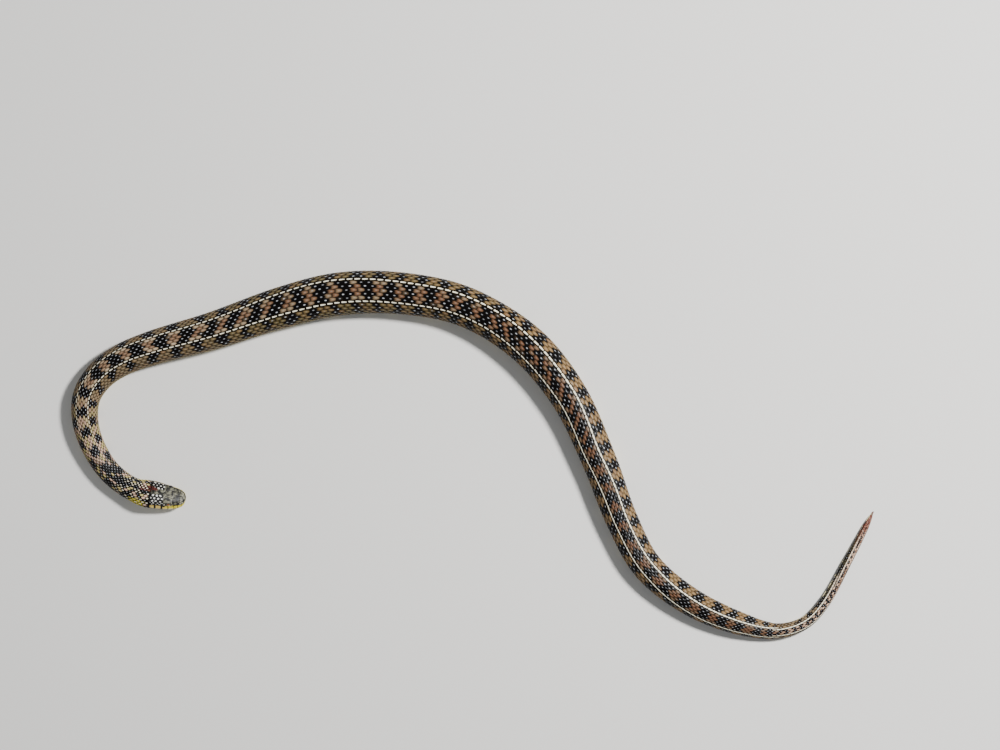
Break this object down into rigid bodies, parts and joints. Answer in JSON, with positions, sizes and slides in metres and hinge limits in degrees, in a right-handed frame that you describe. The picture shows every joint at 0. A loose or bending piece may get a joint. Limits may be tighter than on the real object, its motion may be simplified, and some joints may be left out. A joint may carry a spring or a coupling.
{
  "type": "viperine water snake model",
  "caption": "Life-size still model of a two-striped viperine water snake lying on its belly in a long open curve, with a narrow head and a slender tail.",
  "frame": {"origin": "centre of the animal's outline from above, on the floor that its belly lies on", "axes": "+Z up from the floor; +X to the right and +Y up in the view from above, with the head at the -X end facing +X and the tail at the +X end"},
  "size_m": [0.4709, 0.2164, 0.021],
  "materials": {
    "skin": "keeled scales, satin, black bars on rust and olive with two cream stripes",
    "crown": "smooth olive-grey shields, satin",
    "lips": "smooth pale yellow shields, satin",
    "eye": "clear gloss over a dark pupil and an amber ring"
  },
  "bodies": {
    "root": {"head": "crown", "lower_jaw": "lips", "eye_right": "eye", "eye_left": "eye", "neck_front": "skin", "neck_rear": "skin", "trunk_1": "skin", "trunk_2": "skin", "trunk_3": "skin", "trunk_4": "skin", "trunk_5": "skin", "trunk_6": "skin", "trunk_7": "skin", "trunk_8": "skin", "trunk_9": "skin", "trunk_10": "skin", "tail_base": "skin", "tail_middle": "skin", "tail_tip": "skin"}
  },
  "joints": []
}
